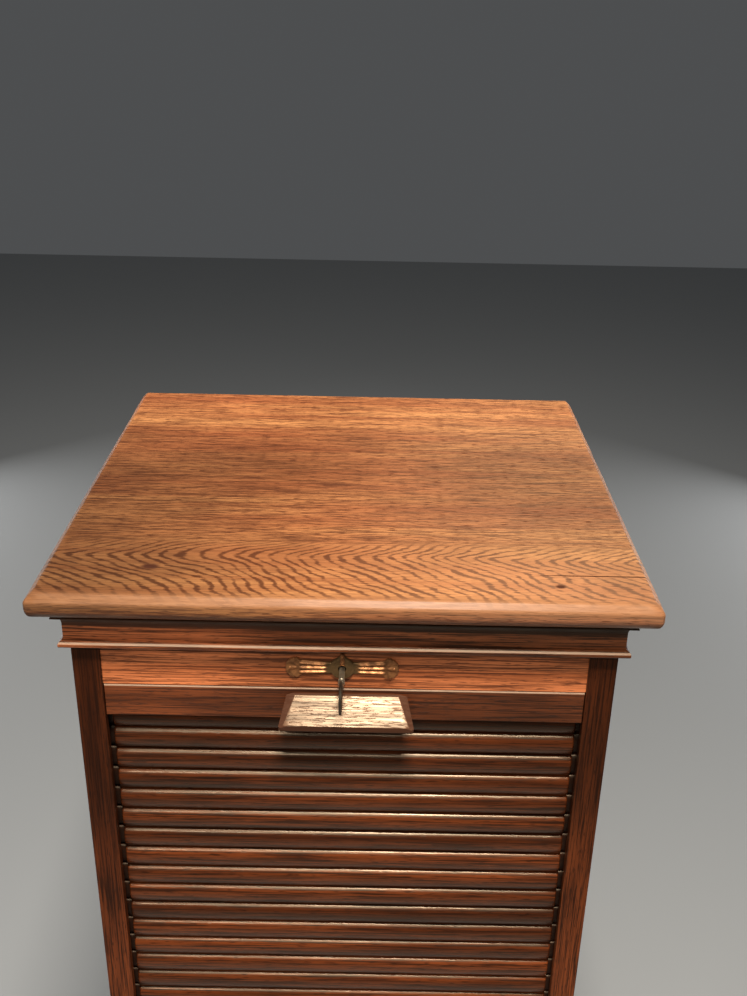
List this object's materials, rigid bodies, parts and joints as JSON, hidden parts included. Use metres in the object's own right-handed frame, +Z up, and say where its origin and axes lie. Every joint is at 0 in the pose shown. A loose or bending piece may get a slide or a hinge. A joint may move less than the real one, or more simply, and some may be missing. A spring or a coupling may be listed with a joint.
{
  "type": "tambour cabinet",
  "caption": "Tall oak filing cabinet with a drop-down roller shutter of half-round slats, moulded top and cornice, wooden pull, brass escutcheon and a key in its lock.",
  "frame": {"origin": "centre of the base on the floor, midway between the plinth's front face and the cabinet's back", "axes": "+Z up, the shutter faces -Y, +X to the right seen from the front"},
  "size_m": [0.5, 0.5045, 1.12],
  "materials": {
    "oak_top": "polished, worn",
    "oak": "polished",
    "oak_dark": "polished",
    "oak_rail": "polished",
    "oak_slat": "polished",
    "oak_pull": "polished, worn",
    "inner_wood": "unpolished",
    "canvas": "plain weave",
    "brass": "aged",
    "key_metal": "worn",
    "steel": "dull"
  },
  "bodies": {
    "carcass": {"top_board": "oak_top", "top_screws": "steel", "cornice_front": "oak_dark", "cornice_left": "oak_dark", "cornice_right": "oak_dark", "side_left": "oak", "side_right": "oak", "top_rail": "oak", "sub_top": "inner_wood", "back_panel": "inner_wood", "back_pins": "steel", "inner_back": "inner_wood", "floor_board": "oak", "base_board": "inner_wood", "plinth_front": "oak", "plinth_left": "oak", "plinth_right": "oak", "shelf_1": "inner_wood", "shelf_2": "inner_wood", "shelf_3": "inner_wood", "shelf_4": "inner_wood", "shelf_5": "inner_wood", "shelf_6": "inner_wood", "shelf_7": "inner_wood", "shelf_8": "inner_wood", "shelf_cleats_left": "inner_wood", "shelf_cleats_right": "inner_wood", "lock_rail": "oak_rail", "lock_case": "steel", "lock_cover": "steel", "lock_screws": "steel", "hook_pivots": "steel", "escutcheon": "brass", "escutcheon_pins": "brass", "canvas": "canvas", "slats_01": "oak_slat", "slats_02": "oak_slat", "slats_03": "oak_slat", "slats_04": "oak_slat", "slats_05": "oak_slat", "slats_06": "oak_slat", "slats_07": "oak_slat", "slats_08": "oak_slat", "slats_09": "oak_slat", "slats_10": "oak_slat", "slats_11": "oak_slat", "slats_12": "oak_slat", "slats_13": "oak_slat", "slats_14": "oak_slat"},
    "shutter": {"lead_rail": "oak_slat", "strike_plate": "brass", "strike_screws": "brass", "pull_handle": "oak_pull", "pull_screws": "steel"},
    "lock_barrel": {"lock_barrel": "brass"},
    "key": {"key": "key_metal"},
    "hook_left": {"hook_left": "steel"},
    "hook_right": {"hook_right": "steel"}
  },
  "joints": [
    {"name": "shutter_slide", "type": "slide", "parent": "carcass", "child": "shutter", "axis": [0, 0, -1], "range_m": [0, 0.903], "deforming": ["canvas", "slats_01", "slats_02", "slats_03", "slats_04", "slats_05", "slats_06", "slats_07", "slats_08", "slats_09", "slats_10", "slats_11", "slats_12", "slats_13", "slats_14"]},
    {"name": "key_turn", "type": "hinge", "parent": "carcass", "child": "lock_barrel", "pos_m": [-0.002, -0.21, 1.042], "axis": [0, 1, 0], "range_deg": [0, 180]},
    {"name": "hook_right_swing", "type": "hinge", "parent": "carcass", "child": "hook_right", "pos_m": [0.015, -0.2075, 1.029], "axis": [0, 1, 0], "range_deg": [0, 90]},
    {"name": "hook_left_swing", "type": "hinge", "parent": "carcass", "child": "hook_left", "pos_m": [-0.019, -0.2075, 1.029], "axis": [0, 1, 0], "range_deg": [-90, 0]},
    {"name": "key_withdraw", "type": "slide", "parent": "lock_barrel", "child": "key", "axis": [0, -1, 0], "range_m": [0, 0.04]}
  ],
  "couplings": [
    {"joint": "hook_right_swing", "follows": "key_turn", "ratio": 0.5},
    {"joint": "hook_left_swing", "follows": "key_turn", "ratio": -0.5}
  ]
}
